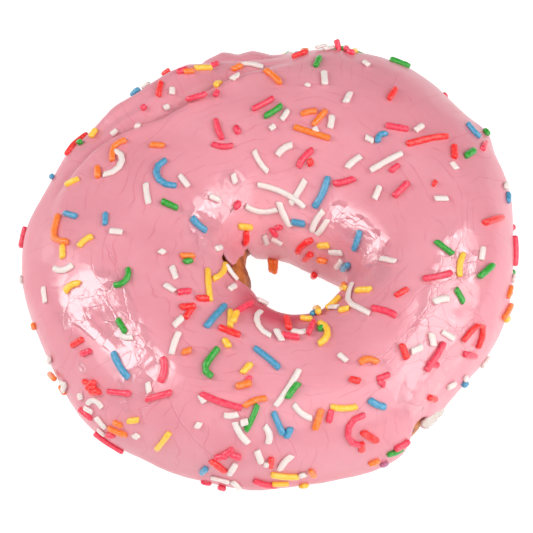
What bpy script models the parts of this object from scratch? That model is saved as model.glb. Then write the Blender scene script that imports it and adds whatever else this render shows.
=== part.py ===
"""Ring doughnut: a fried dough ring under a poured coat of soft icing.

The ring lies flat on its underside.  Angles round the ring start at +X and run
towards +Y, which is the back.  Angles over the tube start at the outer flank and
run up over the crown and down into the hole.
"""
import math

import bmesh
import bpy

# Dough ring, metres.  Reaches are measured from the middle of the hole, and joined
# by a smooth closed curve: outside at every 20 degrees round the ring, in the hole
# at every 30.
OUTER_REACH = (0.0490, 0.0522, 0.0555, 0.0595, 0.0582, 0.0550, 0.0545, 0.0552, 0.0556,
               0.0564, 0.0526, 0.0522, 0.0488, 0.0468, 0.0456, 0.0464, 0.0434, 0.0460)
HOLE_REACH = (0.0164, 0.0116, 0.0096, 0.0104, 0.0124, 0.0124,
              0.0092, 0.0102, 0.0114, 0.0132, 0.0146, 0.0150)
WIDEST_Z = 0.0160          # height of the widest line of the tube
CROWN_RISE = 0.0155        # from the widest line up to the dough's crown
KEEL_DROP = 0.0172         # from the widest line down to the keel that the base cuts off
SECTION_POWER = 2.15       # 2 is an ellipse, more is fuller
BASE_Z = 0.0               # flat underside, where the ring rests

# Icing coat
COAT_THICKNESS = 0.0021
COAT_GAP = 0.0003          # clearance between the coat and the dough
COAT_LIP = 0.35            # thickness left at the edge, as a part of the full one
COAT_TAPER = math.radians(22)   # how far from its edge the coat thins, over the tube
FACET_SAG = 0.0004         # room for the flat facets inside the coat's curve

# How far the coat runs past the widest line, in degrees, at every 30 degrees round
# the ring: down the outer flank, and down into the hole, where it stops short and
# bares the dough at the left.
OUTER_RUN = (40, 44, 38, 42, 46, 40, 44, 38, 44, 40, 14, 36)
HOLE_RUN = (38, 44, 40, 42, 32, -14, -44, -8, 34, 44, 40, 44)
DRIP_SWING = math.radians(5)    # how far a lower edge wanders
OUTER_WAVES = 13           # wanderings round the outer flank
HOLE_WAVES = 5             # and round the hole

# Folds where the coat slid back and piled up, and a lump at the right.  Angles are
# in degrees: the middle round the ring and over the tube, the half length and half
# width, and the crest's climb over the tube for each degree round the ring.
FOLDS = (
    {"round": 128, "over": 62, "length": 34, "width": 12, "climb": 0.20, "height": 0.0028},
    {"round": 124, "over": 36, "length": 26, "width": 11, "climb": 0.10, "height": 0.0026},
    {"round": 98, "over": 34, "length": 12, "width": 11, "climb": 0.00, "height": 0.0022},
    {"round": 33, "over": 16, "length": 7, "width": 12, "climb": 0.00, "height": 0.0022},
)

# Facets
DOUGH_AROUND = 60
DOUGH_OVER = 24
COAT_AROUND = 84
COAT_OUTSIDE = 25          # points across the coat's outside
COAT_INSIDE = 13           # points across the side that faces the dough

DOUGH_COLOUR = (0.46, 0.17, 0.035, 1.0)
ICING_COLOUR = (0.84, 0.33, 0.40, 1.0)


def clear_scene():
    for item in list(bpy.data.objects):
        bpy.data.objects.remove(item, do_unlink=True)


def closed_curve(values, angle):
    """A smooth value between evenly spaced ones that run once round the ring."""
    count = len(values)
    place = (angle % math.tau) / math.tau * count
    start = int(place) % count
    t = place - int(place)
    a, b, c, d = (values[(start + step) % count] for step in (-1, 0, 1, 2))
    return b + 0.5 * t * (c - a + t * (2 * a - 5 * b + 4 * c - d + t * (3 * (b - c) + d - a)))


def signed_power(value, power):
    return math.copysign(abs(value) ** power, value)


def section_point(around, over, offset):
    """A point on the tube, pushed out from the dough's surface by the offset."""
    outer = closed_curve(OUTER_REACH, around)
    inner = closed_curve(HOLE_REACH, around)
    half_width = (outer - inner) / 2 + offset
    half_height = (CROWN_RISE if math.sin(over) > 0 else KEEL_DROP) + offset
    reach = (outer + inner) / 2 + half_width * signed_power(math.cos(over), 2 / SECTION_POWER)
    height = WIDEST_Z + half_height * signed_power(math.sin(over), 2 / SECTION_POWER)
    return (reach * math.cos(around), reach * math.sin(around), max(height, BASE_Z))


def fold_height(around, over):
    """Height that the folds add to the coat at this place."""
    total = 0.0
    for fold in FOLDS:
        along = (math.degrees(around) - fold["round"] + 180) % 360 - 180
        across = math.degrees(over) - fold["over"] - fold["climb"] * along
        spread = (along / fold["length"]) ** 2 + (across / fold["width"]) ** 2
        total += fold["height"] * math.exp(-spread)
    return total


def coat_edges(around):
    """The angles over the tube where the coat ends, outside and in the hole."""
    outside = math.radians(closed_curve(OUTER_RUN, around))
    in_hole = math.radians(closed_curve(HOLE_RUN, around))
    outside += DRIP_SWING * math.sin(OUTER_WAVES * around)
    in_hole += DRIP_SWING * math.cos(HOLE_WAVES * around)
    return -outside, math.pi + in_hole


def coat_section(around):
    """One closed loop: up over the outside, then back along the side facing the dough."""
    start, end = coat_edges(around)
    loop = []
    for index in range(COAT_OUTSIDE):
        over = start + (end - start) * index / (COAT_OUTSIDE - 1)
        from_edge = min(over - start, end - over) / COAT_TAPER
        fullness = math.sin(min(from_edge, 1.0) * math.pi / 2)
        thickness = COAT_THICKNESS * (COAT_LIP + (1 - COAT_LIP) * fullness)
        offset = COAT_GAP + FACET_SAG + thickness + fold_height(around, over) * fullness
        loop.append(section_point(around, over, offset))
    for index in range(COAT_INSIDE):
        over = end + (start - end) * index / (COAT_INSIDE - 1)
        loop.append(section_point(around, over, COAT_GAP + FACET_SAG))
    return loop


def dough_section(around):
    return [section_point(around, math.tau * index / DOUGH_OVER, 0.0)
            for index in range(DOUGH_OVER)]


def swept_ring(name, sections, material):
    """Joins closed sections, one after another round the ring, into one closed body."""
    mesh = bpy.data.meshes.new(name)
    shape = bmesh.new()
    loops = [[shape.verts.new(point) for point in section] for section in sections]
    for index, loop in enumerate(loops):
        after = loops[(index + 1) % len(loops)]
        for corner, vertex in enumerate(loop):
            beside = (corner + 1) % len(loop)
            shape.faces.new((vertex, after[corner], after[beside], loop[beside]))
    bmesh.ops.recalc_face_normals(shape, faces=shape.faces)
    shape.to_mesh(mesh)
    shape.free()
    mesh.shade_smooth()
    mesh.materials.append(material)
    body = bpy.data.objects.new(name, mesh)
    bpy.context.scene.collection.objects.link(body)
    return body


def finish(name, colour, roughness):
    material = bpy.data.materials.new(name)
    material.use_nodes = True
    shader = material.node_tree.nodes["Principled BSDF"]
    shader.inputs["Base Color"].default_value = colour
    shader.inputs["Roughness"].default_value = roughness
    shader.inputs["Metallic"].default_value = 0.0
    return material


def make_dough():
    angles = [math.tau * index / DOUGH_AROUND for index in range(DOUGH_AROUND)]
    sections = [dough_section(angle) for angle in angles]
    return swept_ring("dough", sections, finish("fried_dough", DOUGH_COLOUR, 0.55))


def make_icing():
    angles = [math.tau * index / COAT_AROUND for index in range(COAT_AROUND)]
    sections = [coat_section(angle) for angle in angles]
    return swept_ring("icing", sections, finish("pink_icing", ICING_COLOUR, 0.3))


def centre_on_base(bodies):
    """Moves the ring so that the origin is under the middle of its whole width and depth."""
    points = [vertex.co for body in bodies for vertex in body.data.vertices]
    middle = [(min(point[axis] for point in points) + max(point[axis] for point in points)) / 2
              for axis in (0, 1)]
    for body in bodies:
        body.location = (-middle[0], -middle[1], 0.0)


clear_scene()
centre_on_base([make_dough(), make_icing()])
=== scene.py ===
import math
import random

import bpy
import numpy as np
from mathutils import Matrix, Vector, noise
from mathutils.bvhtree import BVHTree


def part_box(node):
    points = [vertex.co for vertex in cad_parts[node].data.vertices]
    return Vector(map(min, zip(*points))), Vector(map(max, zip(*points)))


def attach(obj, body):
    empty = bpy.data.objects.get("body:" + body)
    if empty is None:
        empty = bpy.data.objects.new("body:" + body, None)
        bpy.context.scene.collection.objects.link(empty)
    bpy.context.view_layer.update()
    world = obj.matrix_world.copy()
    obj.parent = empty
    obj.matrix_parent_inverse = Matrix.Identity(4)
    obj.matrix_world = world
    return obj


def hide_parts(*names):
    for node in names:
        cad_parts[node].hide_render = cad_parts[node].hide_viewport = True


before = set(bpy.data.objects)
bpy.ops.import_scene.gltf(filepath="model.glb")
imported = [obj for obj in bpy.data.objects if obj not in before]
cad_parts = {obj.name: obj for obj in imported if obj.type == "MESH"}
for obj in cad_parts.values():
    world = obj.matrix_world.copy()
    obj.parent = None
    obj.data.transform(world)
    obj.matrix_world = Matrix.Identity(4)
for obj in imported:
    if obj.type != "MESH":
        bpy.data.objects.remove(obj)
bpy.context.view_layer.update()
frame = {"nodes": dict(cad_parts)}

mm = 0.001
print("frame loaded:", ", ".join(frame["nodes"]))

# The ring's form, in millimetres and degrees.
# Round the ring: 0 is right, 90 back.  Over the tube: 0 outer flank, 90 crown, 180 in the hole.
ring = {
    "outerReach": (49.0, 52.2, 55.5, 59.5, 58.2, 55.0, 54.5, 55.2, 55.6,
                   56.4, 52.6, 52.2, 48.8, 46.8, 45.6, 46.4, 43.4, 46.0),                  # every 20 degrees
    "holeReach": (16.4, 11.6, 9.6, 10.4, 12.4, 12.4, 9.2, 10.2, 11.4, 13.2, 14.6, 15.0),   # every 30
    "widestHeight": 16.0,
    "crownRise": 15.5,
    "keelDrop": 17.2,
    "fullness": 2.15,                         # 2 is an ellipse
    "roundStep": 0.77, "overStep": 0.33,      # about how far one degree goes over the surface
}


def closedCurve(values, degrees):
    # Catmull-Rom curve once round the ring through evenly spaced values
    values = np.asarray(values, float)
    count = len(values)
    where = np.mod(degrees, 360.0) / 360.0 * count
    start = np.floor(where).astype(int)
    t = where - start
    a, b, c, d = (values[(start + step) % count] for step in (-1, 0, 1, 2))
    return b + 0.5 * t * (c - a + t * (2 * a - 5 * b + 4 * c - d + t * (3 * (b - c) + d - a)))


def turnFrom(degrees, middle):
    return np.mod(degrees - middle + 180.0, 360.0) - 180.0


def swell(around, over, spot):
    # a soft rise: (round, over, length along the ring, width over the tube, height, how it climbs)
    middle, level, length, width, height, climb = (*spot, 0.0)[:6]
    along = turnFrom(around, middle)
    across = over - level - climb * along
    return height * np.exp(-(along / length) ** 2 - (across / width) ** 2)


def swellAll(around, over, spots):
    return sum(swell(around, over, spot) for spot in spots)


def tubePoint(around, over, lift):
    # lift is how far off the dough's surface, in millimetres
    turn, tilt = np.radians(around), np.radians(over)
    outer = closedCurve(ring["outerReach"], around)
    inner = closedCurve(ring["holeReach"], around)
    c, s = np.cos(tilt), np.sin(tilt)
    power = 2.0 / ring["fullness"]
    halfWidth = (outer - inner) / 2 + lift
    halfHeight = np.where(s > 0, ring["crownRise"], ring["keelDrop"]) + lift
    reach = (outer + inner) / 2 + halfWidth * np.sign(c) * np.abs(c) ** power
    height = ring["widestHeight"] + halfHeight * np.sign(s) * np.abs(s) ** power
    return np.stack([reach * np.cos(turn), reach * np.sin(turn), np.maximum(height, 0.0)], axis=-1)


# the hole's middle is where the dough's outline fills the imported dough's box
doughLow, doughHigh = (np.array(corner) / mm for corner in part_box("dough"))
outline = tubePoint(np.arange(0.0, 360.0, 1.0), np.zeros(360), 0.0)
holeMiddle = (doughLow + doughHigh) / 2 - (outline.min(axis=0) + outline.max(axis=0)) / 2
holeMiddle[2] = 0.0


def place(around, over, lift):
    return (tubePoint(around, over, lift) + holeMiddle) * mm


def placeOne(*where):
    return place(*(np.array([float(value)]) for value in where))[0]


# The icing coat.  Its mounds, foil and spots of painted light and shade are soft spots, as swell takes them.
icing = {
    "around": 580, "across": 156, "inside": 14,       # the grid of the coat, its dough side coarser
    "gap": 0.3, "thickness": 2.2, "lip": 0.45, "taper": 16,
    "outerRun": (40, 43, 44, 41, 38, 40, 42, 45, 46, 43, 40, 42,           # how far down the coat runs,
                 44, 41, 38, 41, 44, 43, 42, 41, 36, 34, 38, 40),          # every 15 degrees
    "outerWaves": ((2.2, 13, 0), (1.5, 29, 40)),
    "holeRun": (38, 42, 44, 42, 40, 41, 42, 38, 25, -1, -22, -36,
                -41, -36, -24, 0, 24, 40, 44, 42, 40, 40, 42, 40),
    "holeWaves": ((1.2, 17, 0),),
    "barePatch": {"round": 308.5, "length": 4.6, "lift": 46},
    "rim": (-0.45, -0.5, 0.2, 0.2, 0.1, -0.3, -0.2, 0.2, 0.3, -0.45, 0.45, 0.3,          # lumps along the
            1.2, 0.4, -0.8, -0.75, 0.2, 0.6, -0.4, -0.5, 0.3, 0.2, -0.1, -0.6,           # outline, every
            -0.2, -0.3, -0.2, -0.4, -0.65, -0.6, -0.4, 0.0, 0.2, -0.3, -0.1, 0.0),       # 10 degrees
    "rimWidth": 24, "rimClimb": 30,
    "unevenness": ((0.35, 16.0, 2, 3.1), (0.08, 5.0, 3, 7.7)),     # (height, size, octaves, seed)
    "crumple": {"height": 0.14, "size": 7.0, "most": 1.2, "ridges": (0.9, 2.2, 3, 1.0, 2.0)},
    "creases": (      # folds: knots are (round, over, depth, lip in front, roll behind)
        {"width": 3.4, "lipAt": 8.0, "lipWidth": 5.5, "rollAt": -19, "rollWidth": 10.5,
         "knots": ((86, 50, 0.0, 0.0, 0.0), (93, 50, -0.5, 0.3, 0.0), (100, 53, -1.2, 0.7, 0.2),
                   (107, 58, -1.7, 1.0, 1.2), (114, 62, -2.0, 1.1, 2.8), (122, 65, -2.1, 1.1, 2.7),
                   (130, 65, -2.0, 1.0, 2.5), (138, 58, -1.7, 0.9, 2.0), (146, 48, -1.3, 0.7, 1.5),
                   (154, 42, -0.7, 0.4, 1.0), (166, 38, 0.0, 0.1, 0.4), (180, 36, 0.0, 0.0, 0.0))},
        {"width": 2.6, "lipAt": 6.0, "lipWidth": 4.0, "rollAt": -13, "rollWidth": 8.0,
         "knots": ((88, 34, 0.0, 0.0, 0.0), (93, 34, -0.7, 0.0, 0.5), (97, 34, -1.3, 0.1, 2.0),
                   (100.5, 33, -1.5, 0.1, 1.7), (104, 32, -1.7, 0.2, 3.2), (108, 30, -1.6, 0.2, 2.6),
                   (112, 28, -0.8, 0.1, 0.9), (116, 27, 0.0, 0.0, 0.0))},
        {"width": 2.4, "lipAt": 6.0, "lipWidth": 5.0, "rollAt": -8, "rollWidth": 5.0,
         "knots": ((118, 46, 0.0, 0.0, 0.0), (126, 50, -0.35, 0.2, 0.1), (134, 50, -0.45, 0.25, 0.1),
                   (142, 43, -0.35, 0.2, 0.1), (150, 36, 0.0, 0.0, 0.0))},
    ),
    "mounds": (
        # right shoulder
        (31, 17, 10, 20, 1.0), (39, 6, 5, 12, 2.2), (58, 20, 26, 30, 0.8),
        # edge at the left and the front
        (150, 24, 5, 14, 0.7), (135, 38, 4, 12, 0.5), (271, 28, 10, 20, -0.4), (306, 2, 5, 18, -0.7),
        (222, 4, 12, 16, 0.6),
        # flattened left slope
        (195, 59, 8, 13, -0.6), (210, 66, 9, 11, -0.5), (225, 57, 8, 15, -0.7),
        # pleats across it
        (206, 54, 8, 3, 0.13, 0.85), (210, 63, 7, 3, -0.13, 0.4), (202, 62, 1.6, 12, -0.1),
        (222, 50, 2.2, 12, 0.12),
        # right slope
        (343, 71, 22, 16, -0.8),
        # soft rises beside the hole
        (150, 124, 24, 15, 0.4), (14, 149, 20, 12, 0.6),
        # dent on the right
        (337, 58, 3.5, 7, -0.5), (348, 62, 3, 10, 0.12), (332, 74, 4, 5, 0.12),
    ),
    "foil": (         # where the skin of the icing is crumpled like foil
        # left slope
        (195, 60, 6.5, 15, 1.0), (206, 66, 6.5, 5, 0.9), (207, 54, 9, 4, 1.0, 0.8), (206, 76, 11, 4, 0.9),
        (222, 68, 8, 6, 1.0), (226, 54, 4.5, 13, 1.0), (217, 60, 6, 4.5, 0.7), (199, 38, 3.5, 9, 0.45),
        (225, 34, 3.5, 8, 0.5), (212, 34, 1.6, 2.5, 0.7),
        # right slope
        (348, 73, 17, 16, 0.9), (326, 55, 14, 17, 0.9), (313, 36, 12, 16, 0.75), (337, 56, 4, 8, -0.6),
        (332, 30, 12, 10, 0.35),
        # left of the hole
        (124, 125, 8, 11, 0.8), (151, 125, 15, 9, 0.95), (142, 134, 14, 4, 0.6), (166, 123, 10, 8, 0.6),
        (182, 122, 12, 7, 0.35),
        # right of the hole
        (0, 132, 11, 13, 1.0), (22, 134, 12, 10, 0.9), (42, 134, 9, 9, 0.7), (340, 119, 8, 8, 0.8, 0.6),
        (312, 105, 3, 5, 0.7),
        # along the crown
        (205, 86, 22, 5, 0.22),
    ),
    "paintedLightShadeSpots": (        # painted light and shade: above 0 a paler pink painted on as light, below 0 a deeper pink painted on as shade
        # the hole's back wall, painted lighter
        (85, 165, 60, 28, 0.9),
        # the hole's front wall, painted shade
        (255, 145, 36, 26, -0.9), (268, 142, 26, 16, -0.8),
        # front and left edge, painted shade
        (268, -15, 60, 20, -0.6), (180, 20, 40, 20, -0.3),
    ),
    "seams": (        # cracks in the skin, each a row of (round, over)
        ((182, 78), (190, 79.5), (200, 77.5), (210, 74.5), (218, 74), (224, 72.5), (228, 68), (230, 60),
         (231, 52), (232, 44), (230.5, 38), (233, 30)),
        ((195, 80), (198, 72), (200, 62), (199, 56), (202, 50), (200.5, 45), (203, 38)),
        ((200, 66), (204, 68), (207, 66.5), (205.5, 62)),
        ((212, 73), (216, 69), (221, 66)),
        ((300, 77), (310, 76), (318, 75), (325, 75), (333, 76), (337, 79), (343, 86)),
        ((291, 51.5), (296.5, 59), (302, 62), (309, 61.5), (316, 61), (322, 59), (327, 57), (330.5, 52),
         (333, 44), (340, 42)),
        ((306, 70), (314, 70), (320, 71), (327, 73), (335, 73.5), (341, 72), (345, 66.5), (351, 66)),
        ((340, 50), (340.5, 40), (340, 28), (342, 20)),
        ((322, 44), (325, 34), (330, 27), (333, 20)),
        ((342, 84), (349, 82), (354, 84), (358, 79), (4, 80)),
        ((349, 70), (348.5, 63), (352, 57), (351, 50)),
        ((357, 74), (356, 66), (358, 60), (1, 52)),
        ((236, 52), (242, 40), (247, 30), (252, 22)),
        ((314, 105), (326, 101), (336, 106), (346, 104)),
    ),
    "seamReach": 1.6, "seamFade": 0.8,
}


def seamField(around, over):
    # signed distance in millimetres from the nearest seam, and how strongly it counts there
    nearest = np.full(around.shape, 99.0)
    signed = np.full(around.shape, 99.0)
    for seam in icing["seams"]:
        for (roundA, overA), (roundB, overB) in zip(seam[:-1], seam[1:]):
            alongX, alongY = turnFrom(roundB, roundA) * ring["roundStep"], (overB - overA) * ring["overStep"]
            x, y = turnFrom(around, roundA) * ring["roundStep"], (over - overA) * ring["overStep"]
            share = np.clip((x * alongX + y * alongY) / (alongX ** 2 + alongY ** 2), 0, 1)
            away = np.hypot(x - share * alongX, y - share * alongY)
            closer = away < nearest
            nearest = np.where(closer, away, nearest)
            signed = np.where(closer, np.sign(alongX * y - alongY * x) * away, signed)
    return signed, np.clip((icing["seamReach"] - nearest) / icing["seamFade"], 0, 1)


def knotCurve(degrees, knots, field):
    places = np.array([knot[0] for knot in knots], float)
    values = np.array([knot[field] for knot in knots], float)
    middle = (places[0] + places[-1]) / 2
    return np.interp(turnFrom(degrees, middle) + middle, places, values)


def foldLift(around, over):
    total = np.zeros_like(around)
    for crease in icing["creases"]:
        middle, depth, lip, roll = (knotCurve(around, crease["knots"], field) for field in (1, 2, 3, 4))
        away = over - middle
        total += depth * np.exp(-(away / crease["width"]) ** 2)
        total += lip * np.exp(-((away - crease["lipAt"]) / crease["lipWidth"]) ** 2)
        total += roll * np.exp(-((away - crease["rollAt"]) / crease["rollWidth"]) ** 2)
    for spot in icing["mounds"]:
        total += swell(around, over, spot)
    rimAt = icing["rimClimb"] * np.sin(np.radians(around))
    total += closedCurve(icing["rim"], around) * np.exp(-((over - rimAt) / icing["rimWidth"]) ** 2)
    return total


def wavyRun(run, waves, around):
    edge = closedCurve(run, around)
    for height, count, phase in waves:
        edge = edge + height * np.sin(np.radians(around * count + phase))
    return edge


def coatEdges(around):
    bare = icing["barePatch"]
    outside = wavyRun(icing["outerRun"], icing["outerWaves"], around)
    outside = outside - bare["lift"] * np.exp(-(turnFrom(around, bare["round"]) / bare["length"]) ** 4)
    return -outside, 180.0 + wavyRun(icing["holeRun"], icing["holeWaves"], around)


def noiseAt(points, size, octaves, seed):
    # from about -1 to 1, its largest features as wide as the size in millimetres; finer ones fade by 0.6
    shift = Vector((seed, seed * 0.7, -seed))
    return np.array([noise.fractal(Vector(p) / size + shift, 0.6, 2.1, octaves) for p in points])


def addUnevenness(relief, points, rows):
    for height, size, octaves, seed in rows:
        relief = relief + height * noiseAt(points, size, octaves, seed)
    return relief


def addRingGrid(name, aroundCount, acrossCount):
    # a flat sheet, later rolled into a tube and round into a ring, with where each point lies on it
    bpy.ops.object.select_all(action="DESELECT")
    bpy.ops.mesh.primitive_grid_add(x_subdivisions=aroundCount, y_subdivisions=acrossCount, size=1)
    piece = bpy.context.object
    piece.name = piece.data.name = name
    flat = np.empty(len(piece.data.vertices) * 3, np.float32)
    piece.data.vertices.foreach_get("co", flat)
    flat = flat.reshape(-1, 3)
    return piece, np.rint((flat[:, 0] + 0.5) * aroundCount), np.rint((flat[:, 1] + 0.5) * acrossCount)


def moveVertices(piece, points):
    piece.data.vertices.foreach_set("co", np.asarray(points, np.float32).ravel())
    piece.data.update()


def closeAndSmooth(piece):
    bpy.ops.object.select_all(action="DESELECT")
    bpy.context.view_layer.objects.active = piece
    piece.select_set(True)
    bpy.ops.object.mode_set(mode="EDIT")
    bpy.ops.mesh.select_all(action="SELECT")
    bpy.ops.mesh.remove_doubles(threshold=0.000002)
    bpy.ops.mesh.normals_make_consistent(inside=False)
    bpy.ops.object.mode_set(mode="OBJECT")
    bpy.ops.object.shade_smooth()


def storeOnPoints(piece, name, values, kind="FLOAT", field="value"):
    layer = piece.data.attributes.new(name, kind, "POINT")
    layer.data.foreach_set(field, np.asarray(values, np.float32).ravel())


def makeIcing():
    outsideCount, insideCount = icing["across"], icing["inside"]
    sectionCount = outsideCount + insideCount
    piece, loop, index = addRingGrid("icing_coat", icing["around"], sectionCount)
    around = np.mod(loop, icing["around"]) * 360.0 / icing["around"]
    index = np.mod(index, sectionCount)
    start, end = coatEdges(around)
    outside = index < outsideCount
    share = np.where(outside, index / (outsideCount - 1.0),
                     1.0 - (index - outsideCount + 1.0) / (insideCount + 1.0))
    over = start + (end - start) * share
    fromEdge = np.minimum(over - start, end - over) / icing["taper"]
    fullness = np.sqrt(np.clip(1 - (1 - np.clip(fromEdge, 0, 1)) ** 2, 0, 1))
    base = place(around, over, icing["gap"]) / mm
    thickness = icing["thickness"] * (icing["lip"] + (1 - icing["lip"]) * fullness)
    foil = np.clip(swellAll(around, over, icing["foil"]), 0, 1)
    crumple = icing["crumple"]
    ridges = np.array([noise.ridged_multi_fractal(Vector(p) / crumple["size"], *crumple["ridges"])
                       for p in base])
    ridges = np.clip(ridges - ridges.mean(), -crumple["most"], crumple["most"])
    relief = addUnevenness(foldLift(around, over), base, icing["unevenness"])
    relief = relief + crumple["height"] * ridges * foil
    lift = np.where(outside, icing["gap"] + thickness + relief * fullness, icing["gap"])
    moveVertices(piece, place(around, over, lift))
    turn = np.radians(around)      # ringPlace follows the ring, so that a pattern can be drawn out along it
    storeOnPoints(piece, "ringPlace", np.stack([np.cos(turn), np.sin(turn), over / 90.0], axis=-1),
                  "FLOAT_VECTOR", "vector")
    signed, strength = seamField(around, over)
    storeOnPoints(piece, "seam", np.stack([signed, strength, 0 * signed], axis=-1), "FLOAT_VECTOR", "vector")
    storeOnPoints(piece, "foil", foil)
    # this attribute holds painted light and shade: paler pink where more light is wanted, deeper pink as
    # shade
    storeOnPoints(piece, "paintedLightShade", swellAll(around, over, icing["paintedLightShadeSpots"]))
    closeAndSmooth(piece)
    print("icing:", len(piece.data.vertices), "vertices")
    return piece


dough = {
    "around": 256, "across": 110,
    "unevenness": ((0.30, 4.0, 3, 1.3), (0.12, 1.3, 2, 5.9)), "proudest": 0.2,
    "bulges": ((156, 184, 24, 24, 2.6), (191, 183, 18, 24, 1.3), (308.8, 1, 4.4, 20, 1.3)),
}


def makeDough():
    piece, loop, index = addRingGrid("fried_dough", dough["around"], dough["across"])
    around = np.mod(loop, dough["around"]) * 360.0 / dough["around"]
    over = np.mod(index, dough["across"]) * 360.0 / dough["across"] - 180.0
    rough = addUnevenness(0.0, place(around, over, 0.0) / mm, dough["unevenness"])
    over = np.where(over < -90, over + 360, over)
    bulge = swellAll(around, over, dough["bulges"])
    points = place(around, over, np.minimum(rough, dough["proudest"]) + bulge)
    points[:, 2] = np.maximum(points[:, 2], 0.0)
    moveVertices(piece, points)
    closeAndSmooth(piece)
    print("dough:", len(piece.data.vertices), "vertices")
    return piece


# Drips over the dough, and crust.  path: (round, over, half width in millimetres) from root to tip
drips = {
    "icing_tongue": {"path": ((142, 158, 3.6), (148, 157, 4.2), (155, 154.5, 4.1), (162, 151.5, 3.5),
                              (168, 149, 3.0), (174, 148, 2.3), (180, 147.5, 1.4), (184.5, 148, 0.4)),
                     "thickness": 0.5, "lift": 0.9, "lumps": 0.10},
    "icing_drop_low": {"path": ((205, 141, 0.4), (208, 144, 0.8), (212, 146, 0.8), (215, 147, 0.3)),
                       "thickness": 0.6, "lift": 0.5, "lumps": 0.08},
    "icing_drop_high": {"path": ((146, 168, 0.3), (143, 169, 0.8), (139, 170, 0.8), (136, 171, 0.3)),
                        "thickness": 0.5, "lift": 0.5, "lumps": 0.08},
}
crusts = {
    "crust_lump": {"path": ((308.8, 6.5, 1.0), (310.8, 2.5, 1.9), (313.6, -3, 2.5), (316.2, -8, 2.6),
                            (318.8, -12.5, 2.1), (321, -15, 0.8)),
                   "thickness": 0.8, "lift": 2.2, "lumps": 0.45},
}
dripShape = {"sides": 28, "rings": 36, "bluntness": 8, "lumpSize": 1.4, "lumpSeed": 2.2}


def makeDrip(name, drip):
    # a ball drawn out along the path: its poles are the root and the tip
    shape = dripShape
    bpy.ops.object.select_all(action="DESELECT")
    bpy.ops.mesh.primitive_uv_sphere_add(segments=shape["sides"], ring_count=shape["rings"], radius=1)
    piece = bpy.context.object
    piece.name = piece.data.name = name
    ball = np.array([v.co[:] for v in piece.data.vertices])
    share = np.arccos(np.clip(-ball[:, 2], -1, 1)) / math.pi
    turn = np.arctan2(ball[:, 1], ball[:, 0])
    path = np.array(drip["path"], float)
    knots = np.linspace(0, 1, len(path))
    around, over, half = (np.interp(share, knots, path[:, field]) for field in range(3))
    blunt = np.sqrt(np.clip(1 - (2 * share - 1) ** shape["bluntness"], 0, 1))
    over = over + np.cos(turn) * half * blunt / ring["overStep"]
    lift = drip["lift"] + (swellAll(around, over, dough["bulges"]) if name in drips else 0.0)
    lumps = drip["lumps"] * noiseAt(place(around, over, lift) / mm, shape["lumpSize"], 2, shape["lumpSeed"])
    moveVertices(piece, place(around, over, lift + (np.sin(turn) * drip["thickness"] + lumps) * blunt))
    closeAndSmooth(piece)
    return piece


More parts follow.
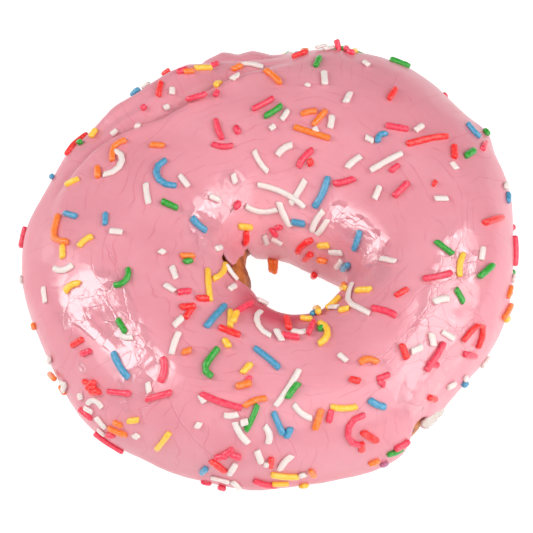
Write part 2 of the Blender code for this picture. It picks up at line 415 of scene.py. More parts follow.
# Sugar strands.  Each is (round, over, turn, length), and a bend and a lift where it has them: round and
# over in degrees, turn in degrees as seen from above the front, length and lift in millimetres, bend in
# degrees over the whole length, or (bend, where) for a crook at that share of it.
strands = {
    "white": [
        (69, 50, -40, 1.7), (81, 34, 12, 2.6, 0, 0.3), (79, 33, 28, 3.2, 25, 0.25), (78, 69, -87, 3.3),
        (69, 79, 65, 2.8), (82.5, 75, 40, 1.0), (89.5, 91, 55, 3.0), (104.3, 64, 35, 2.2, 0, 0.2),
        (98.1, 48, -10, 5.4, -22), (122, 55, 90, 1.8), (126, 64, 20, 1.6), (136, 62, -85, 2.9),
        (141.5, 53, 40, 2.0), (151, 71, -112, 8.6, -150), (145, 105, -52, 3.5), (158.5, 92, -80, 4.7, 10),
        (122.5, 121, -75, 2.4), (104, 115, -57, 6.0, 30), (90, 109, 35, 4.6, -45), (44.5, 71, 35, 2.4),
        (54, 93, -28, 2.3), (76, 99, -70, 2.0), (71, 93, 80, 3.1, 15), (28, 66, -55, 2.0),
        (42, 95, 30, 8.4), (53.5, 106, 39, 4.4, -20), (32, 109, 66, 3.4), (22, 25, 60, 1.6),
        (91.5, 134, -25, 12.2, -34), (78.5, 132, 58, 6.6, 12), (113, 145, -5, 8.0, 60),
        (90, 147, -63, 6.2, 22), (141, 124, -20, 2.7), (115, 170, -70, 2.2), (101, 170, -28, 2.9),
        (52.3, 144, 60, 5.6, -25), (42.8, 146, 54, 4.4, 25), (17.2, 158, -4, 2.9, 14),
        (10.3, 168.7, 52, 2.8, 12), (278, 113, 0, 3.4, 55), (255, 117, -70, 7.2, 100),
        (218.7, 133.8, 35, 1.8), (205.5, 98, -35, 2.8), (198, 103, -70, 3.1), (186, 101, 40, 1.4),
        (176.5, 83, -6, 3.0), (181, 8, 80, 1.2), (186, 53, 10, 4.9, 80), (190, 34, -80, 3.6),
        (214, 68, -8, 3.0, 45), (221.5, 92, 45, 2.9), (227, 83, 72, 5.1, -12),
        (209.5, 8.5, -20, 2.2, 0, 0.2), (210, 5.5, 60, 2.2, 0, 0.1), (216, 19, -80, 1.7),
        (220, 24.5, -12, 4.2, -120), (219.5, 16, -25, 2.2), (223.5, 14, -48, 3.4), (224, 5, -40, 2.0),
        (229.5, 54, -80, 2.4), (232.5, 18, 30, 1.4), (246.5, 43, 60, 1.6), (245, 60, -60, 2.2),
        (254.5, 54, 4, 3.2, 30), (258.5, 51, 15, 1.9, 0, 0.5), (258, 43, -58, 5.6, 28),
        (265.5, 43, -80, 4.3, -65), (271, 74, 56, 9.4, 14), (275, 57, -38, 5.2, 40), (263.5, 26, -70, 3.0),
        (270, 20, 52, 4.4, -40), (265.5, 19, 80, 1.1), (257, 13, 60, 3.0), (254, -2, -14, 4.2, -25),
        (258, -8, -50, 3.2, -20), (274.5, 5, 20, 1.6), (293, 88, -40, 2.4), (317.5, 61, 22, 2.9),
        (324, 57, -80, 3.0), (329, 50, -30, 3.2), (328, 2, -60, 1.8), (322, 12, 20, 2.0),
        (338, -11, 38, 2.6), (337.5, 72, 14, 3.7, -15), (318, 121, -62, 9.2, (58, 0.48)),
        (350.5, 118, -15, 3.4), (358, 57, 78, 3.0), (17.5, 82, 0, 3.2), (359, 9, 60, 1.4),
        (125.4, 43, 35, 2.2), (203, 138.5, -54, 4.3, 12, 0.45), (175.5, 134, 20, 1.6),
        (246, 149, -22, 2.7, -20), (307, 132, 5, 1.8), (267, 109, -62, 2.8), (202, 6, 70, 1.6),
        (95, 97, 40, 1.6),
    ],
    "crimson": [
        (75.5, 30, 90, 2.0, 0, 0.3), (74, 37, -20, 1.8), (111.7, 71.5, 70, 1.5, 0, 0.2),
        (117.6, 71, 21, 4.4, 0, 0.5), (131, 55, 40, 1.4), (97.3, 84, 28, 5.6, 10), (117, 92, -72, 4.9, 18),
        (119, 101, -4, 4.9, 42), (110, 95, -62, 2.0), (78.5, 113, 50, 5.4, -35), (108, 41.5, 20, 1.8),
        (116.7, 43.5, 20, 2.6), (49.5, 80, -10, 5.3), (33, 32, 60, 2.8), (37.5, 94, 38, 2.6),
        (27, 98, 45, 4.7), (51, 117, 15, 5.0, 22), (130.5, 136, 50, 1.9), (104, 162, -60, 2.0),
        (97, 157, 20, 1.4), (285, 114, 62, 3.0, 0, 0.5), (273, 109, -10, 3.9, 12),
        (239.2, 125, 29, 4.6, 12), (210, 104, 5, 3.0, -25), (170, 6, 76, 4.8, -12), (210, 43, 22, 2.5),
        (224, 41.5, -5, 5.2), (233.3, 51.8, 16, 5.7), (230, 67, -96, 5.6, -52), (219, 10, -38, 3.6),
        (225, -9, -36, 7.6, 14), (226.5, 8, 10, 1.4), (250.5, 61, -19, 9.3, 12), (255.5, 28, 30, 2.8, 20),
        (257.5, 26, -20, 2.6), (254, 24, 15, 2.4), (250, -16, -5, 1.8), (254, -19, -30, 1.6),
        (265, -4, -16, 5.3, 42), (257, 78, 60, 1.5), (283, 52, 76, 2.9), (288.5, 38, -95, 10.4, 165),
        (302.5, 66, 18, 3.0), (301, 63, -40, 1.7), (301, 8, 25, 3.4), (321, 46, 55, 7.4, 10),
        (319, 43, -10, 2.6), (331, 21, -12, 3.5), (320.8, 94.9, -17, 5.6, -18), (345.5, 82, 12, 6.6, 14),
        (7, 8, 88, 6.6), (350, 5, 60, 1.5),
    ],
    "red": [
        (124, 50, 78, 3.5), (147, 28, 52, 6.5, -8), (86, 42, 22, 3.8), (119.2, 41.5, 30, 2.2),
        (74.5, 115, -70, 1.6), (58, 66, 55, 3.2), (40, 71, 13, 9.8), (32.5, 61, 88, 3.0),
        (139, 160, 88, 2.8), (56, 165, 42, 4.6, -40), (43.8, 174, 47, 2.7), (24, 82, -60, 1.0),
        (272, 122, -78, 3.0, 0, 0.4), (242, 102, -20, 5.0), (218, 111, 0, 2.6), (218, 101, 4, 3.4),
        (221, 99, 55, 2.7), (206, 40.5, 31, 3.2), (216.5, 32, -28, 3.0), (217.2, 33.5, 46, 2.4, 0, 0.4),
        (218.8, 31.5, 2, 2.3), (253.5, 14, -41, 3.9, -12), (266.5, 20, 85, 2.3), (293.5, 72, -15, 2.5),
        (292.5, 31, -34, 3.9), (290, 23, -85, 2.0), (313.5, 67, -72, 3.4), (314, 22, -20, 2.3),
        (336, 32, -40, 9.0, (-150, 0.55)), (333, 95, 30, 3.2), (10, 47, 18, 5.0), (38, 197, 60, 2.0),
    ],
    "orange": [
        (102.4, 49, 25, 2.4), (93, 66, -42, 4.8, -38), (115.4, 45, 8, 2.4), (138.5, 82, -5, 3.2, -8),
        (146.5, 64, 52, 6.9, (-75, 0.6)), (155.5, 63, -85, 2.6), (80.5, 90, 12, 3.8, -25),
        (76, 92, 50, 4.8), (77.5, 100, -19, 8.6), (85, 33, 30, 1.2), (340, 158, -50, 1.8),
        (24.9, 172.6, -8, 2.2), (188.5, 113, 0, 3.0), (175, 51, -55, 7.6, (82, 0.6)), (192, 2, 82, 1.3),
        (205, 0, -22, 3.4, 0, 0.6), (208.5, -3, -40, 2.0), (223, -13, -30, 2.0), (227.5, 21, -20, 2.1),
        (228, 15, -20, 4.2, 15), (232.5, 82, 16, 2.2), (256, 74, 14, 3.5), (260.5, 65, 20, 5.3, -38),
        (279.5, 51, 72, 4.7), (277, 5, -60, 1.9), (293, 3, 25, 2.3), (301, 80, 0, 4.4, -85),
        (354, 14, 68, 2.7), (350, 6, 50, 3.9),
    ],
    "yellow": [
        (109.2, 64.5, 65, 2.4, 0, 0.3), (111.7, 45, 2, 3.9, -8), (143.5, 38, 55, 2.3), (159.5, 49, 27, 3.5),
        (73.5, 30, 30, 1.5), (134, 152, -3, 3.1), (30.4, 158, 4, 2.5), (309, 121, 15, 2.1),
        (291, 108.5, -92, 5.8, -118), (238, 111, 88, 3.4), (211, 119, -84, 7.0, 8), (202, 131, 52, 4.6, 45),
        (181, 55, -85, 2.9), (179, 68, 38, 4.0, -45), (191.5, 54, 30, 4.0, -62), (230.5, 29, 8, 2.6),
        (239, 22, 53, 5.1), (244, 94, -60, 2.1), (255.5, 84, 47, 2.9), (287.5, 56, 0, 5.8, 28),
        (270, 5, -6, 6.1, 22), (269, -5, 0, 3.6), (275, -14, 0, 1.6), (352.5, 71, -102, 5.5, 30),
        (327.5, 121, 4, 3.2), (349, 1, 20, 1.9), (330, 146, -20, 2.6), (240, 112, 70, 2.4, 0, 0.3),
        (311, 139, 42, 4.4, -20), (298, 142, -70, 4.4, -25, 0.3), (285, 127, -5, 2.6, 30),
    ],
    "green": [
        (81, 55, 67, 2.8), (94, 89, 34, 5.0, 14), (147, 33, 30, 1.4), (63, 28, -22, 5.0), (31, 50, 32, 2.9),
        (38, 14, -60, 1.4), (160, 104, -24, 4.0), (192.5, 112, 15, 1.7), (195.5, 81, -128, 5.8, -118),
        (210, 69, -57, 3.5), (242, 81, -76, 7.2, (95, 0.74)), (272.5, 72, 53, 4.1, -20),
        (260.5, 54, 65, 6.2, 10), (299, 4, 18, 3.4), (357.5, 84, -38, 4.8), (353, 51, 40, 4.3),
        (342, 62, -60, 3.6), (291, 114, 30, 2.0),
    ],
    "blue": [
        (148, 94, -66, 9.3, 165), (128.5, 42, 35, 2.4), (51.5, 89, 45, 3.6, (-70, 0.5)),
        (38, 33, -52, 4.5, 35), (19, 24, 85, 2.0), (164, 121, -42, 4.6, 30), (72, 150, -12, 3.1),
        (60, 128, 66, 7.8, 28), (3, 164, 42, 2.9), (12, 139, 72, 4.6, 12), (293, 137, 35, 1.5, 0, 0.2),
        (230.5, 108, 48, 6.0), (170, 57, -17, 3.0), (171.5, 77, -88, 2.7), (219.5, 55, -58, 6.5, 24),
        (250, 5, 48, 2.3), (262.5, 92, -38, 6.9, -8), (268, 51, -66, 5.3), (271, 44, 66, 2.5),
        (297, 52, -24, 4.0, 32), (328, -4, 20, 1.3), (156, 21, -25, 2.2),
    ],
    "purple": [
        (296, -5, 30, 1.5),
    ],
}
free = {       # (round, over, lift, length, which way it points): these stand clear of the coat
    "orange": [(106.5, 201, 2.6, 2.5, (0.05, -0.6, -0.8)), (101, 201, 2.5, 2.8, (-0.05, -0.6, -0.8))],
    "crimson": [(77, 31, 2.4, 2.9, (-0.15, 0.80, 0.58))],
}
strewn = {     # on the sides turned away from the front, the same mixture strewn at random
    "count": 110, "lowest": -38, "highest": -34, "belowOutline": 13, "lengths": (1.6, 5.2),
    "bends": (0, 0, 0, 20, -30, 50, -70),
    "mixture": {"white": 8, "crimson": 5, "red": 4, "orange": 3, "yellow": 3, "green": 2, "blue": 2},
}
strandShape = {
    "sides": 8, "rings": 9, "radius": 0.72, "seed": 4, "sunk": 0.45, "uneven": 0.07,
    "girth": (0.92, 1.12), "startAbove": 3.0, "steps": 24, "crookSharpness": 13, "shortest": 0.25,
    "capShare": 0.55, "slant": 0.35, "flatter": (0.93, 1.05), "sinkChange": (0.5, 1.5), "tip": 0.06,
    "leastFacing": 0.35, "mostStretch": 1.5, "freeSteps": 9, "freeBow": 0.2,
    "round": {"rim": 0.78, "reach": 0.48, "flat": 0.95}, "cut": {"rim": 0.90, "reach": 0.36, "flat": 0.66},
}
frontLean, frontRise = 0.5, 0.8660254          # cosine and sine of the 60 degrees of the front view
viewDown = Vector((0, -frontLean, frontRise))


def seenDirection(normal, turn):
    # the direction over the surface that looks turned by so much from above the front
    seen = Vector((math.cos(turn), math.sin(turn) * frontRise, math.sin(turn) * frontLean))
    facing = max(normal.dot(viewDown), strandShape["leastFacing"])
    flat = seen - viewDown * (seen.dot(normal) / facing)
    stretch = min(flat.length, strandShape["mostStretch"])
    return (flat - normal * flat.dot(normal)).normalized(), stretch


def makeStrandTemplate(rim, reach):
    # a ball with its rings drawn out along the strand: rim is how wide and reach how far out its ends are
    sides, rings, tip = (strandShape[name] for name in ("sides", "rings", "tip"))
    bpy.ops.object.select_all(action="DESELECT")
    bpy.ops.mesh.primitive_uv_sphere_add(segments=sides, ring_count=rings, radius=1)
    ball = bpy.context.object
    points = np.array([v.co[:] for v in ball.data.vertices])
    faces = [tuple(polygon.vertices) for polygon in ball.data.polygons]
    bpy.data.objects.remove(ball)
    level = np.rint((1 - np.arccos(np.clip(points[:, 2], -1, 1)) / math.pi) * rings).astype(int)
    along = np.array([0.0, 0.0] + list(np.linspace(0, 1, rings - 3)) + [1.0, 1.0])
    push = np.array([-reach - tip, -reach] + [0.0] * (rings - 3) + [reach, reach + tip])      # in radii
    size = np.array([0.0, rim] + [1.0] * (rings - 3) + [rim, 0.0])
    turn = np.arctan2(points[:, 1], points[:, 0]) + math.pi / sides
    return {"faces": faces, "level": level, "along": along[level], "push": push[level], "size": size[level],
            "side": np.cos(turn), "up": np.sin(turn)}


def strandPoints(template, entry, surface, rng, flatness):
    shape = strandShape
    around, over, turn, length, bend, raised = (*entry, 0.0, 0.0)[:6]
    radius = shape["radius"] * rng.uniform(*shape["girth"])
    middle, normal, _, _ = surface.find_nearest(Vector(placeOne(around, over, shape["startAbove"])))
    heading, stretch = seenDirection(normal, math.radians(turn))
    side = normal.cross(heading)
    length = max(length * stretch - 2 * radius * shape["capShare"], shape["shortest"])
    bend, crook = bend if isinstance(bend, tuple) else (bend, None)
    path = [Vector((0, 0, 0))]                      # a curve in the plane that touches the surface
    for step in range(shape["steps"]):
        share = (step + 0.5) / shape["steps"]
        if crook is not None:                       # most of the bend in one place along the strand
            share = 1 / (1 + math.exp((crook - share) * shape["crookSharpness"]))
        angle = math.radians(bend) * (share - 0.5)
        forward = heading * math.cos(angle) + side * math.sin(angle)
        path.append(path[-1] + forward * (length / shape["steps"]))
    centre = sum(path, Vector()) / len(path)
    centres, ups = [], []
    lift = radius * (1 - shape["sunk"] * rng.uniform(*shape["sinkChange"])) + raised
    for point in path:
        spot, up, _, _ = surface.find_nearest(middle + (point - centre) * mm)
        centres.append(spot + up * lift * mm)
        ups.append(up)
    centres = np.array([point[:] for point in centres]) / mm
    return wrapStrand(template, centres, np.array([up[:] for up in ups]), radius, rng, flatness)


def wrapStrand(template, centres, ups, radius, rng, flatness):
    # the template's rings set along a row of middles
    steps = len(centres) - 1
    tangents = np.gradient(centres, axis=0)
    tangents /= np.linalg.norm(tangents, axis=1)[:, None]
    sides = np.cross(ups, tangents)
    sides /= np.linalg.norm(sides, axis=1)[:, None]
    ups = np.cross(tangents, sides)
    share = template["along"] * steps
    low = np.minimum(share.astype(int), steps - 1)
    part = (share - low)[:, None]

    def between(rows):
        return rows[low] * (1 - part) + rows[low + 1] * part

    slant = rng.uniform(-strandShape["slant"], strandShape["slant"])
    shift = template["push"] + slant * template["side"] * (template["size"] > 0) \
        * np.abs(template["along"] * 2 - 1)
    flat = flatness * rng.uniform(*strandShape["flatter"])
    uneven = np.array([rng.uniform(-1, 1) for _ in range(strandShape["rings"] + 1)]) * strandShape["uneven"]
    size = template["size"] * radius * (1 + uneven[template["level"]])
    return (between(centres) + between(tangents) * (shift * radius)[:, None]
            + between(sides) * (template["side"] * size)[:, None]
            + between(ups) * (template["up"] * size * flat)[:, None])


def strewHidden(rng):
    kinds = [kind for kind, share in strewn["mixture"].items() for _ in range(share)]
    extra = {kind: [] for kind in strands}
    for _ in range(strewn["count"]):
        around = rng.uniform(0, 180)
        outlineAt = icing["rimClimb"] * math.sin(math.radians(around))
        over = rng.uniform(strewn["lowest"], max(outlineAt - strewn["belowOutline"], strewn["highest"]))
        bend = rng.choice(strewn["bends"])
        extra[rng.choice(kinds)].append((around, over, rng.uniform(-180, 180),
                                         rng.uniform(*strewn["lengths"]), bend))
    return extra


def freeStrand(template, entry, rng, flatness):
    around, over, lift, length, heading = entry
    heading = np.array(heading) / np.linalg.norm(heading)
    root = placeOne(around, over, lift) / mm
    tubeMiddle = place(np.array([around, around], float), np.array([0.0, 180.0]), 0.0).mean(axis=0) / mm
    outward = root - tubeMiddle
    outward -= heading * (outward @ heading)
    outward /= np.linalg.norm(outward)
    share = np.linspace(0, 1, strandShape["freeSteps"])[:, None]
    bow = outward * strandShape["freeBow"] * np.sin(share * math.pi)
    centres = root + heading * share * length + bow
    ups = np.tile(outward, (len(share), 1))
    return wrapStrand(template, centres, ups, strandShape["radius"], rng, flatness)


def makeStrands(surface):
    templates = {name: makeStrandTemplate(strandShape[name]["rim"], strandShape[name]["reach"])
                 for name in ("round", "cut")}
    rng = random.Random(strandShape["seed"])
    extra = strewHidden(rng)
    for kind, entries in strands.items():
        points, faces = [], []
        style = "cut" if kind == "white" else "round"
        template, flatness = templates[style], strandShape[style]["flat"]
        for entry in entries + extra[kind] + free.get(kind, []):
            base = len(points) * len(template["along"])
            points.append(freeStrand(template, entry, rng, flatness) if entry in free.get(kind, [])
                          else strandPoints(template, entry, surface, rng, flatness))
            faces += [tuple(corner + base for corner in face) for face in template["faces"]]
        mesh = bpy.data.meshes.new("strands_" + kind)
        mesh.from_pydata((np.concatenate(points) * mm).tolist(), [], faces)
        piece = bpy.data.objects.new("strands_" + kind, mesh)
        bpy.context.collection.objects.link(piece)
        closeAndSmooth(piece)
        piece.data.materials.append(sugarFinish(kind))
        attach(piece, "root")
    placed = sum(len(entries) for kind in strands for entries in (strands[kind], free.get(kind, [])))
    print("strands:", placed, "placed by hand and", strewn["count"], "strewn")


def newMaterial(name, sameAllOver):
    # a Principled material; what is the same all over it is set on the shader's own sockets
    material = bpy.data.materials.new(name)
    material.use_nodes = True
    tree = material.node_tree
    tree.nodes.clear()
    shader = tree.nodes.new("ShaderNodeBsdfPrincipled")
    output = tree.nodes.new("ShaderNodeOutputMaterial")
    tree.links.new(shader.outputs["BSDF"], output.inputs["Surface"])
    for socket, value in sameAllOver.items():
        shader.inputs[socket].default_value = value
    return material, tree, shader


def addNode(tree, kind, inputs, **settings):
    # an input that is another node's socket is linked
    node = tree.nodes.new("ShaderNode" + kind)
    for name, value in settings.items():
        setattr(node, name, value)
    for name, value in inputs.items():
        if isinstance(value, bpy.types.NodeSocket):
            tree.links.new(value, node.inputs[name])
        else:
            node.inputs[name].default_value = value
    return node


def addMath(tree, operation, *values):
    return addNode(tree, "Math", dict(enumerate(values)), operation=operation).outputs[0]


def addVectorMath(tree, operation, *values):
    return addNode(tree, "VectorMath", dict(enumerate(values)), operation=operation)


def addRange(tree, value, fromLow, fromHigh, toLow=0, toHigh=1):
    limits = {"Value": value, "From Min": fromLow, "From Max": fromHigh, "To Min": toLow, "To Max": toHigh}
    return addNode(tree, "MapRange", limits, interpolation_type="SMOOTHSTEP").outputs[0]


def addMix(tree, factor, first, second):
    first, second = ((*color, 1) if isinstance(color, tuple) else color for color in (first, second))
    return addNode(tree, "Mix", {0: factor, 6: first, 7: second}, data_type="RGBA").outputs[2]


def addNoise(tree, vector, scale, detail=2.0, roughness=0.5):
    inputs = {"Vector": vector, "Scale": scale, "Detail": detail, "Roughness": roughness}
    return addNode(tree, "TexNoise", inputs).outputs["Fac"]


def addBump(tree, shader, height, strength, distance, sockets=("Normal",)):
    bump = addNode(tree, "Bump", {"Height": height, "Strength": strength, "Distance": distance})
    for socket in sockets:
        tree.links.new(bump.outputs["Normal"], shader.inputs[socket])


def objectSpot(tree):
    return addNode(tree, "TexCoord", {}).outputs["Object"]


def storedValue(tree, name, output="Fac"):
    return addNode(tree, "Attribute", {}, attribute_name=name).outputs[output]


def splitVector(tree, vector):
    return addNode(tree, "SeparateXYZ", {0: vector}).outputs[:]


sugarColors = {     # linear
    "white": (0.77, 0.675, 0.64), "crimson": (0.88, 0.036, 0.090), "red": (0.96, 0.018, 0.016),
    "orange": (0.98, 0.200, 0.012), "yellow": (0.97, 0.55, 0.035), "green": (0.010, 0.33, 0.014),
    "blue": (0.052, 0.30, 0.50), "purple": (0.50, 0.15, 0.28),
}
sugarLooks = {      # deep: the darker shade of its mottle; through: how far light goes through it
    "glazed": {"deep": 0.90, "grain": 1900.0, "relief": 1.0, "coat": 0.55, "through": 0.12},
    "dry": {"deep": 0.97, "grain": 2600.0, "relief": 0.35, "coat": 0.0, "through": 0.5},
}


def sugarFinish(kind):
    color, look = sugarColors[kind], sugarLooks["dry" if kind == "white" else "glazed"]
    material, tree, shader = newMaterial("sugar_" + kind + "_finish", {
        "Roughness": 0.36, "Specular IOR Level": 0.4, "Coat Weight": look["coat"], "Coat Roughness": 0.14,
        "Emission Color": (*color, 1), "Emission Strength": 0.08,          # painted glow in the sugar's own colour, standing in for light through the sugar
        "Subsurface Weight": look["through"], "Subsurface Radius": (1.0, 0.6, 0.5),
        "Subsurface Scale": 0.0005})
    spot = objectSpot(tree)
    pale = tuple(c + (1 - c) * 0.05 for c in color)
    deep = tuple(c * look["deep"] for c in color)
    mottle = addRange(tree, addNoise(tree, spot, 1500.0), 0.35, 0.68)
    tree.links.new(addMix(tree, mottle, deep, pale), shader.inputs["Base Color"])
    addBump(tree, shader, addNoise(tree, spot, look["grain"], 1.5), look["relief"], 0.00012,
            ("Normal", "Coat Normal"))
    return material


icingLook = {      # the pink icing; colours linear, relief in millimetres
    "deep": (0.735, 0.275, 0.328), "pale": (0.775, 0.316, 0.371), "line": (0.64, 0.12, 0.19),
    # the next two colours are painted: a deeper pink painted as shade and a paler pink painted as light
    "paintedShadePink": (0.67, 0.078, 0.125), "paintedLightPink": (0.92, 0.43, 0.49),
    "crownLines": {"count": 16, "waviness": 6.0, "width": 0.12, "breaks": (3.0, 3.0, 16.0),
                   "shown": (0.44, 0.64)},
    "flankLines": {"count": 110, "waviness": 4.0, "width": 0.08, "breaks": (16.0, 16.0, 2.0),
                   "shown": (0.44, 0.62)},
    "lineDepth": 0.5, "cut": 0.022, "thread": 0.05, "streaks": 0.06, "ripple": 0.03,
    "bigPlates": {"scale": 115.0, "tilt": 0.16, "crackWidth": 0.00012},
    "smallPlates": {"scale": 250.0, "tilt": 0.07, "crackWidth": 0.00008},
    "seam": {"wander": 1.1, "cutWidth": 0.17, "threadAt": 0.34, "threadWidth": 0.24},
    "satin": 0.13, "patchy": 0.30,
}


def pinkIcingFinish():
    look = icingLook
    material, tree, shader = newMaterial("pinkIcingFinish", {
        "Roughness": 0.36, "Specular IOR Level": 0.3, "Coat Roughness": 0.12, "Coat IOR": 1.95,
        "Subsurface Weight": 0.20, "Subsurface Radius": (1.0, 0.45, 0.45), "Subsurface Scale": 0.0014})
    spot = objectSpot(tree)
    ringSpot = storedValue(tree, "ringPlace", "Vector")
    foil, paintedLightShade = storedValue(tree, "foil"), storedValue(tree, "paintedLightShade")
    ringX, ringY, over = splitVector(tree, ringSpot)       # over is 1 on the crown, 0 on the outer flank

    def times(first, second):
        return addMath(tree, "MULTIPLY", first, second)

    def plus(first, second):
        return addMath(tree, "ADD", first, second)

    def larger(first, second):
        return addMath(tree, "MAXIMUM", first, second)

    def bendBy(vector, scale, reach):
        warp = addNode(tree, "TexNoise", {"Vector": vector, "Scale": scale, "Detail": 2.0})
        return addVectorMath(tree, "MULTIPLY_ADD", warp.outputs["Color"], (reach,) * 3, vector).outputs[0]

    def drawnOut(scale, detail=2.0):
        # noise stretched along or across the ring
        mapping = addNode(tree, "Mapping", {"Vector": ringSpot, "Scale": scale})
        return addNoise(tree, mapping.outputs[0], 1.0, detail)

    def hairlines(phase, line):
        wave = times(drawnOut((2.0, 2.0, 2.8), 2.6), line["waviness"])
        away = addMath(tree, "PINGPONG", plus(phase, wave), 0.5)
        shown = addRange(tree, drawnOut(line["breaks"]), *line["shown"])
        return times(addRange(tree, away, 0.0, line["width"], 1, 0), shown)

    # hairlines that run along the ring over the crown and down over the flanks
    turn = addMath(tree, "ARCTAN2", ringY, ringX)
    crownLines = hairlines(times(over, look["crownLines"]["count"]), look["crownLines"])
    crownLines = times(crownLines, addRange(tree, over, 0.5, 0.75))
    flankLines = hairlines(times(turn, look["flankLines"]["count"] / (2 * math.pi)), look["flankLines"])
    flankLines = times(flankLines, addRange(tree, over, 0.85, 0.6))

    # plates between cracks, each tilted its own way
    bent = bendBy(bendBy(spot, 170.0, 0.0032), 700.0, 0.0006)

    def plates(scale, tilt, crackWidth):
        # how deep in a crack a place is, how high its plate stands there, and the plate's own chance
        rims = addNode(tree, "TexVoronoi", {"Vector": bent, "Scale": scale}, feature="DISTANCE_TO_EDGE")
        cells = addNode(tree, "TexVoronoi", {"Vector": bent, "Scale": scale}, feature="F1")
        lean = addVectorMath(tree, "SUBTRACT", cells.outputs["Color"], (0.5, 0.5, 0.5)).outputs[0]
        away = addVectorMath(tree, "SUBTRACT", bent, cells.outputs["Position"]).outputs[0]
        rise = addVectorMath(tree, "DOT_PRODUCT", lean, away).outputs["Value"]
        crack = addRange(tree, rims.outputs["Distance"], 0.0, crackWidth * scale, 1, 0)
        return crack, times(rise, tilt / mm), splitVector(tree, lean)[0]

    bigCrack, bigTilt, bigChance = plates(**look["bigPlates"])
    smallCrack, smallTilt, smallChance = plates(**look["smallPlates"])
    chance = plus(bigChance, times(smallChance, 0.6))
    glossy = plus(foil, times(chance, look["patchy"]))
    zone = addRange(tree, foil, 0.25, 0.55)
    finePlates = addRange(tree, addNoise(tree, spot, 90.0), 0.45, 0.62)
    crack = times(larger(bigCrack, times(smallCrack, finePlates)), zone)
    lines = times(larger(crownLines, flankLines), addRange(tree, foil, 0.2, 0.6, 1, 0.25))
    lines = larger(times(lines, 0.75), crack)

    # the seams: a dark cut with a beaded thread beside it
    seam = look["seam"]
    seamAway, seamStrength, _ = splitVector(tree, storedValue(tree, "seam", "Vector"))
    wander = addMath(tree, "SUBTRACT", addNoise(tree, spot, 600.0), 0.5)
    beside = plus(seamAway, times(wander, seam["wander"]))
    cut = addRange(tree, addMath(tree, "ABSOLUTE", beside), 0.0, seam["cutWidth"], 1, 0)
    lines = larger(lines, times(cut, seamStrength))
    thread = addMath(tree, "ABSOLUTE", addMath(tree, "SUBTRACT", beside, seam["threadAt"]))
    thread = addRange(tree, thread, 0.0, seam["threadWidth"], 1, 0)
    beads = addRange(tree, addNoise(tree, spot, 1300.0, 1.0), 0.4, 0.6)
    thread = times(times(thread, beads), seamStrength)

    shade = addRange(tree, addNoise(tree, spot, 55.0, 3.0), 0.3, 0.7)
    base = addMix(tree, shade, look["deep"], look["pale"])
    # painted shade and painted light: deeper pink where the stored value is below 0, paler pink where it is
    # above
    base = addMix(tree, addRange(tree, paintedLightShade, 0, -1), base, look["paintedShadePink"])
    base = addMix(tree, addRange(tree, paintedLightShade, 0, 1), base, look["paintedLightPink"])
    base = addMix(tree, times(lines, look["lineDepth"]), base, look["line"])
    tree.links.new(base, shader.inputs["Base Color"])

    # the relief: tilted plates, streaks along the ring, ripple, the cut of the lines and the thread
    streaks = times(drawnOut((5.0, 5.0, 42.0), 3.0), look["streaks"])
    ripple = times(addNoise(tree, bent, 480.0, 3.0), look["ripple"])
    relief = times(plus(plus(bigTilt, smallTilt), plus(streaks, ripple)), zone)
    height = plus(plus(relief, times(lines, -look["cut"])), times(thread, look["thread"]))
    addBump(tree, shader, height, 1.0, mm, ("Normal", "Coat Normal"))
    glossy = larger(glossy, times(thread, 0.6))
    tree.links.new(addRange(tree, glossy, 0.12, 0.5, look["satin"], 1.0), shader.inputs["Coat Weight"])
    return material


mottledLooks = {      # two shades and a relief from one grain: (scale, detail, roughness)
    "smoothPinkFinish": {          # the same icing where it hangs free, without cracks
        "grain": (300.0, 2.0, 0.5), "shades": ((0.72, 0.255, 0.305), (0.76, 0.30, 0.35)),
        "sameAllOver": {"Roughness": 0.35, "Subsurface Weight": 0.20, "Subsurface Scale": 0.0014,
                        "Subsurface Radius": (1.0, 0.45, 0.45)}},
    "sugarCrustFinish": {
        "grain": (900.0, 4.0, 0.5), "shades": ((0.60, 0.51, 0.455), (0.74, 0.65, 0.60)),
        "relief": (0.8, 0.0003),
        "sameAllOver": {"Roughness": 0.6, "Subsurface Weight": 0.2, "Subsurface Scale": 0.0008}},
    "friedDoughFinish": {
        "grain": (260.0, 6.0, 0.62), "shades": ((0.20, 0.040, 0.006), (0.58, 0.175, 0.030)),
        "contrast": (0.36, 0.64), "relief": (1.0, 0.0006), "sameAllOver": {"Roughness": 0.48}},
}


def mottledFinish(name):
    look = mottledLooks[name]
    material, tree, shader = newMaterial(name, look["sameAllOver"])
    grain = addNoise(tree, objectSpot(tree), *look["grain"])
    tint = addRange(tree, grain, *look["contrast"]) if "contrast" in look else grain
    tree.links.new(addMix(tree, tint, *look["shades"]), shader.inputs["Base Color"])
    if "relief" in look:
        addBump(tree, shader, grain, *look["relief"])
    return material


# Floor, soft light and camera.  Each softbox looks at the middle from so far off.
studio = {"floor": 8.0, "floorGlow": 0.95, "lightDistance": 0.65, "world": 0.13,
          "lens": 150, "cameraDistance": 0.5, "elevation": 60, "lookAt": (-0.00055, -0.0018, 0.0165)}
softboxes = {
    "left": {"from": (-0.74, 0.05, 0.67), "along": (0.40, -0.62, 0.45), "size": (0.32, 0.54),
             "radiance": 4.35},
    "leftLow": {"from": (-0.86, 0.46, 0.20), "along": (0, 0, 1), "size": (0.20, 0.18), "radiance": 3.2},
    "right": {"from": (0.735, -0.13, 0.647), "along": (0.32, -0.67, -0.61), "size": (0.48, 0.85),
              "radiance": 2.2},
    "rightTop": {"from": (0.66, 0.24, 0.70), "along": (0, 1, 0), "size": (0.14, 0.18), "radiance": 2.6},
    "front": {"from": (0.20, -0.64, 0.74), "along": (0, 1, 0), "size": (0.75, 0.65), "radiance": 1.7},
}


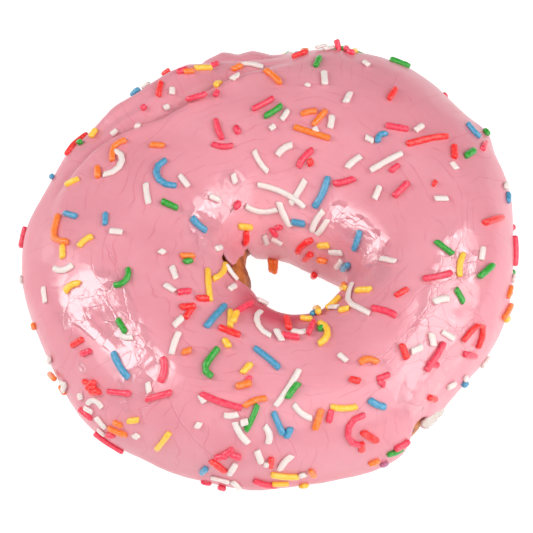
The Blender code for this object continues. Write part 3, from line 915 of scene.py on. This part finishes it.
def makeStage():
    bpy.ops.object.select_all(action="DESELECT")
    bpy.ops.mesh.primitive_plane_add(size=studio["floor"], location=(0, 0, 0))
    floor = bpy.context.object
    floor.name = "floor"
    floor.data.materials.append(newMaterial("paleFloor", {
        "Base Color": (0.25, 0.25, 0.25, 1), "Roughness": 0.9,
        "Emission Color": (1, 1, 1, 1), "Emission Strength": studio["floorGlow"]})[0])


def addSoftbox(name, settings):
    light = bpy.data.lights.new(name, "AREA")
    light.shape = "RECTANGLE"
    light.size, light.size_y = settings["size"]
    light.energy = settings["radiance"] * math.pi * light.size * light.size_y
    box = bpy.data.objects.new(name, light)
    bpy.context.collection.objects.link(box)
    way = Vector(settings["from"]).normalized()
    along = Vector(settings["along"])
    along = (along - way * along.dot(way)).normalized()
    turn = Matrix((along.cross(way), along, way)).transposed()
    box.matrix_world = Matrix.Translation(way * studio["lightDistance"]) @ turn.to_4x4()


def makeLights():
    world = bpy.data.worlds.new("softStudio")
    bpy.context.scene.world = world
    world.use_nodes = True
    background = world.node_tree.nodes["Background"]
    background.inputs["Color"].default_value = (1, 1, 1, 1)
    background.inputs["Strength"].default_value = studio["world"]
    for name, settings in softboxes.items():
        addSoftbox(name + "Softbox", settings)


def makeCamera():
    elevation = math.radians(studio["elevation"])
    data = bpy.data.cameras.new("camera")
    data.lens, data.sensor_width = studio["lens"], 36
    data.clip_start, data.clip_end = 0.01, 20
    camera = bpy.data.objects.new("camera", data)
    bpy.context.collection.objects.link(camera)
    back = Vector((0, -math.cos(elevation), math.sin(elevation)))
    camera.location = Vector(studio["lookAt"]) + back * studio["cameraDistance"]
    camera.rotation_euler = back.to_track_quat("Z", "Y").to_euler()
    bpy.context.scene.camera = camera


bpy.context.scene.view_settings.view_transform = "Standard"

icingPiece = makeIcing()
icingPiece.data.materials.append(pinkIcingFinish())
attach(icingPiece, "root")
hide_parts("icing")

coatSurface = BVHTree.FromPolygons([v.co for v in icingPiece.data.vertices],
                                   [tuple(p.vertices) for p in icingPiece.data.polygons])
makeStrands(coatSurface)

doughPiece = makeDough()
doughPiece.data.materials.append(mottledFinish("friedDoughFinish"))
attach(doughPiece, "root")
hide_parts("dough")

smoothPink, crustFinish = mottledFinish("smoothPinkFinish"), mottledFinish("sugarCrustFinish")
for pieces, finish, slot in ((drips, smoothPink, "pink_icing"), (crusts, crustFinish, "icing_sugar_crust")):
    for name, drip in pieces.items():
        piece = makeDrip(name, drip)
        piece.data.materials.append(finish)
        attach(piece, "root")
print("drips and crust:", len(drips) + len(crusts))

makeStage()
makeLights()
makeCamera()
print("stage, lights and camera ready")
